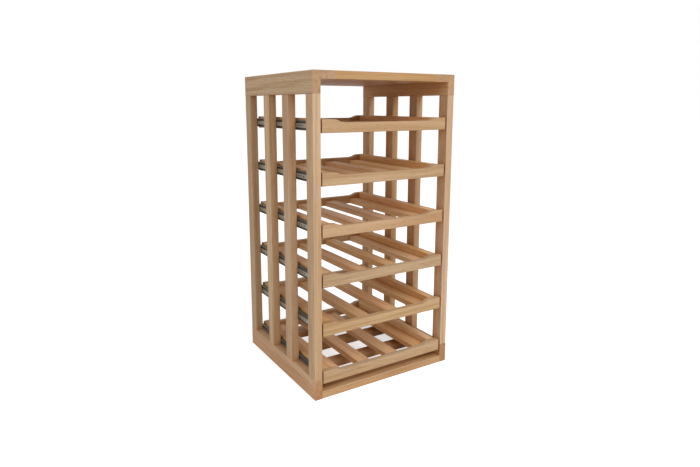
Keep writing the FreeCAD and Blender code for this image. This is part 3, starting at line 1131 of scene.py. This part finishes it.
# ---------------------------------------------------------------------------------------------
# Studio
# ---------------------------------------------------------------------------------------------
@dataclass
class Lamp:
    """A square soft lamp that shines at a point."""

    name: str
    place: Triple
    target: Triple
    size: float
    power: float
    colour: Colour = (1.0, 1.0, 1.0)

    def build(self) -> None:
        """Hangs the lamp."""
        data = bpy.data.lights.new(self.name, "AREA")
        data.shape = "SQUARE"
        data.size = self.size
        data.energy = self.power
        data.color = self.colour
        lamp = bpy.data.objects.new(self.name, data)
        bpy.context.scene.collection.objects.link(lamp)
        lamp.location = self.place
        away = Vector(self.place) - Vector(self.target)
        lamp.rotation_euler = away.to_track_quat("Z", "Y").to_euler()


@dataclass
class Studio:
    """A pale floor and soft light all round, brighter from the front and above."""

    floor_half: float = 30.0
    surround_front: float = 0.77
    surround_back: float = 0.22
    surround_axis: Triple = (-0.10, -0.86, 0.50)
    surround_warm: Colour = (1.0, 0.84, 0.66)
    warm_until: float = -0.6        # along the axis, where the surround is warm all through
    white_from: float = 0.3         # along the axis, where it has turned white
    floor_white: Colour = linear(222, 222, 222)
    floor_bounce: Colour = linear(214, 198, 176)
    floor_glow: float = 0.66
    lamps: tuple[Lamp, ...] = (
        Lamp("key", (0.4, -2.7, 2.7), (0.0, 0.0, 0.45), 2.0, 56.0, (1.0, 0.99, 0.98)),
        Lamp("fill", (-2.9, -1.3, 1.5), (0.0, 0.0, 0.45), 2.2, 12.0, (0.76, 0.89, 1.0)),
    )

    @staticmethod
    def _seen_directly(graph: Graph) -> Socket:
        """1 for what the camera, a mirror or glass sees, and 0 for light that falls on things."""
        path = graph.node("ShaderNodeLightPath").outputs
        seen = graph.math("MAXIMUM", path["Is Camera Ray"], path["Is Glossy Ray"])
        return graph.math("MAXIMUM", seen, path["Is Transmission Ray"])

    def build_world(self) -> None:
        """Lights the scene from all round, with a white background."""
        world = bpy.data.worlds.new("soft_surround")
        world.use_nodes = True
        bpy.context.scene.world = world
        graph = Graph(world.node_tree)
        world.node_tree.nodes.clear()
        way = graph.node("ShaderNodeTexCoord").outputs["Generated"]
        feeds = {0: way, 1: self.surround_axis}
        ahead = graph.node("ShaderNodeVectorMath", feeds, operation="DOT_PRODUCT").outputs["Value"]
        level = graph.ranged(ahead, -1.0, 1.0, self.surround_back, self.surround_front)
        seen = self._seen_directly(graph)
        level = graph.math("MAXIMUM", level, seen)
        white = graph.math("MAXIMUM", graph.ranged(ahead, self.warm_until, self.white_from), seen)
        colour = graph.mixed(white, self.surround_warm, (1.0, 1.0, 1.0))
        shader = graph.node("ShaderNodeBackground", {"Color": colour, "Strength": level})
        output = graph.node("ShaderNodeOutputWorld")
        graph.tree.links.new(shader.outputs[0], output.inputs["Surface"])

    def build_floor(self) -> None:
        """Lays the plain pale floor."""
        half = self.floor_half
        mesh = bpy.data.meshes.new("floor")
        corners = [(-half, -half, 0.0), (half, -half, 0.0), (half, half, 0.0), (-half, half, 0.0)]
        mesh.from_pydata(corners, [], [(0, 1, 2, 3)])
        floor = bpy.data.objects.new("floor", mesh)
        bpy.context.scene.collection.objects.link(floor)
        finish = Finish("pale_floor")
        seen = self._seen_directly(finish)
        colour = finish.mixed(seen, self.floor_bounce, self.floor_white)
        diffuse = finish.node("ShaderNodeBsdfDiffuse", {"Color": colour})
        strength = finish.math("MULTIPLY", seen, self.floor_glow)
        glow = finish.node("ShaderNodeEmission", {"Color": (1.0, 1.0, 1.0), "Strength": strength})
        both = finish.node("ShaderNodeAddShader", {0: diffuse.outputs[0], 1: glow.outputs[0]})
        finish.tree.links.new(both.outputs[0], finish.output.inputs["Surface"])
        mesh.materials.append(finish.material)

    def build(self) -> None:
        """Sets up the floor, the light and the view settings."""
        self.build_world()
        self.build_floor()
        for lamp in self.lamps:
            lamp.build()
        bpy.context.scene.view_settings.view_transform = "Standard"
        LOG.info("studio is ready")


@dataclass
class ViewCamera:
    """The camera, to the left of the rack's front and a little below its top."""

    place: Triple = (-0.9635, -1.5470, 0.8577)
    heading: float = 31.598         # degrees from +Y towards +X
    dip: float = 9.825              # degrees below level
    lens: float = 28.233
    shift_x: float = 0.0107
    shift_y: float = -0.048
    sensor: float = 36.0            # millimetres, as the lens
    nearest: float = 0.01
    farthest: float = 200.0

    def build(self) -> None:
        """Makes the camera and the scene's view through it."""
        data = bpy.data.cameras.new("view")
        data.lens = self.lens
        data.sensor_width = self.sensor
        data.shift_x = self.shift_x
        data.shift_y = self.shift_y
        data.clip_start, data.clip_end = self.nearest, self.farthest
        camera = bpy.data.objects.new("view", data)
        bpy.context.scene.collection.objects.link(camera)
        camera.location = self.place
        camera.rotation_euler = (math.radians(90 - self.dip), 0.0, -math.radians(self.heading))
        bpy.context.scene.camera = camera


def main() -> None:
    """Builds the looks of the rack round its frame."""
    logging.basicConfig(level=logging.INFO, format="%(name)s: %(message)s")
    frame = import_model()
    nodes = frame["nodes"]
    tray_count = sum(name.startswith("tray_") for name in frame["bodies"])
    SidePanels(nodes).dress()
    Top(nodes).dress()
    Base(nodes).dress()
    Dowels(nodes).dress()
    Trays(nodes, tray_count).dress()
    slides = Slides(nodes, tray_count, Repeater())
    slides.dress()
    slides.build_panel_screws()
    slides.build_tray_screws()
    slides.build_balls()
    Studio().build()
    ViewCamera().build()


if __name__ == "__main__":
    main()
